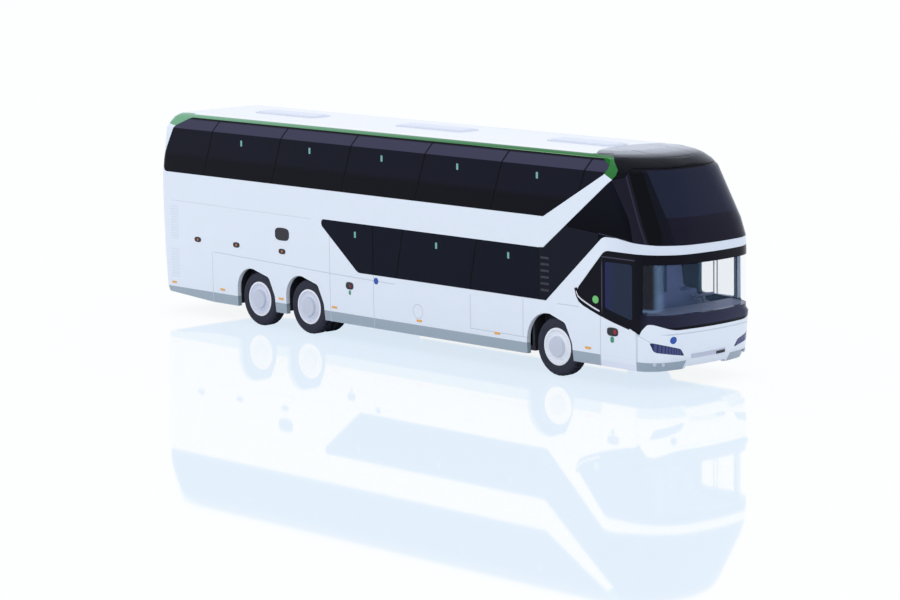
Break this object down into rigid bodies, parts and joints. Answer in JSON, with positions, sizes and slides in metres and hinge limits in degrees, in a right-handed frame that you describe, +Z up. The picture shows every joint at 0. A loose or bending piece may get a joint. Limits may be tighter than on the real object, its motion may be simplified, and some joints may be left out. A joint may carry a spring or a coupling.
{
  "type": "coach bus scale model",
  "caption": "Small-scale model of a double-deck touring coach: hollow body with separate glazing, black roof front, seats, roof hatches and wheels on steel pins.",
  "frame": {"origin": "on the ground under the middle of the coach's length, on its centre plane", "axes": "+X forward, +Y to the coach's left, +Z up"},
  "size_m": [0.1604, 0.0294, 0.0465],
  "materials": {
    "body_white": "glossy white lacquered plastic",
    "black_glazing": "polished black-tinted plastic",
    "tinted_glazing": "smoked clear plastic",
    "clear_glazing": "clear plastic",
    "headlamp_lens": "dark blue lamp glass",
    "tail_lamp_red": "glossy red",
    "chassis_black": "matt black moulded plastic",
    "interior_grey": "matt blue-grey moulded plastic",
    "rim_white": "satin silver-white",
    "tyre_black": "soft black plastic",
    "axle_steel": "plain steel pin"
  },
  "bodies": {
    "coach": {"body_shell": "body_white", "cab_floor": "interior_grey", "chassis": "chassis_black", "dashboard": "interior_grey", "door_window": "tinted_glazing", "driver_seat": "interior_grey", "driver_window": "clear_glazing", "engine_cover": "body_white", "front_bumper": "body_white", "front_dome": "black_glazing", "headlamp_left": "headlamp_lens", "headlamp_right": "headlamp_lens", "lower_deck": "interior_grey", "lower_side_glazing_left": "black_glazing", "lower_side_glazing_right": "black_glazing", "lower_windscreen": "clear_glazing", "quarter_panel_left": "black_glazing", "quarter_panel_right": "black_glazing", "rear_window": "black_glazing", "roof_hatch_front": "body_white", "roof_hatch_middle": "body_white", "roof_hatch_rear": "body_white", "staircase": "interior_grey", "steering_wheel": "interior_grey", "tail_lamp_left": "tail_lamp_red", "tail_lamp_right": "tail_lamp_red", "upper_deck": "interior_grey", "upper_quarter_glazing_left": "black_glazing", "upper_quarter_glazing_right": "black_glazing", "upper_side_glazing_left": "black_glazing", "upper_side_glazing_right": "black_glazing", "upper_windscreen": "tinted_glazing", "windscreen_surround": "black_glazing"},
    "front_wheelset": {"front_axle": "axle_steel", "front_rim_left": "rim_white", "front_rim_right": "rim_white", "front_tyre_left": "tyre_black", "front_tyre_right": "tyre_black"},
    "drive_wheelset": {"drive_axle": "axle_steel", "drive_rim_left": "rim_white", "drive_rim_right": "rim_white", "drive_tyre_left": "tyre_black", "drive_tyre_right": "tyre_black"},
    "tag_wheelset": {"tag_axle": "axle_steel", "tag_rim_left": "rim_white", "tag_rim_right": "rim_white", "tag_tyre_left": "tyre_black", "tag_tyre_right": "tyre_black"}
  },
  "joints": [
    {"name": "front_wheels_turn", "type": "hinge", "parent": "coach", "child": "front_wheelset", "pos_m": [0.0494, 0, 0.00605], "axis": [0, 1, 0], "continuous": true},
    {"name": "drive_wheels_turn", "type": "hinge", "parent": "coach", "child": "drive_wheelset", "pos_m": [-0.0278, 0, 0.00605], "axis": [0, 1, 0], "continuous": true},
    {"name": "tag_wheels_turn", "type": "hinge", "parent": "coach", "child": "tag_wheelset", "pos_m": [-0.04465, 0, 0.00605], "axis": [0, 1, 0], "continuous": true}
  ]
}
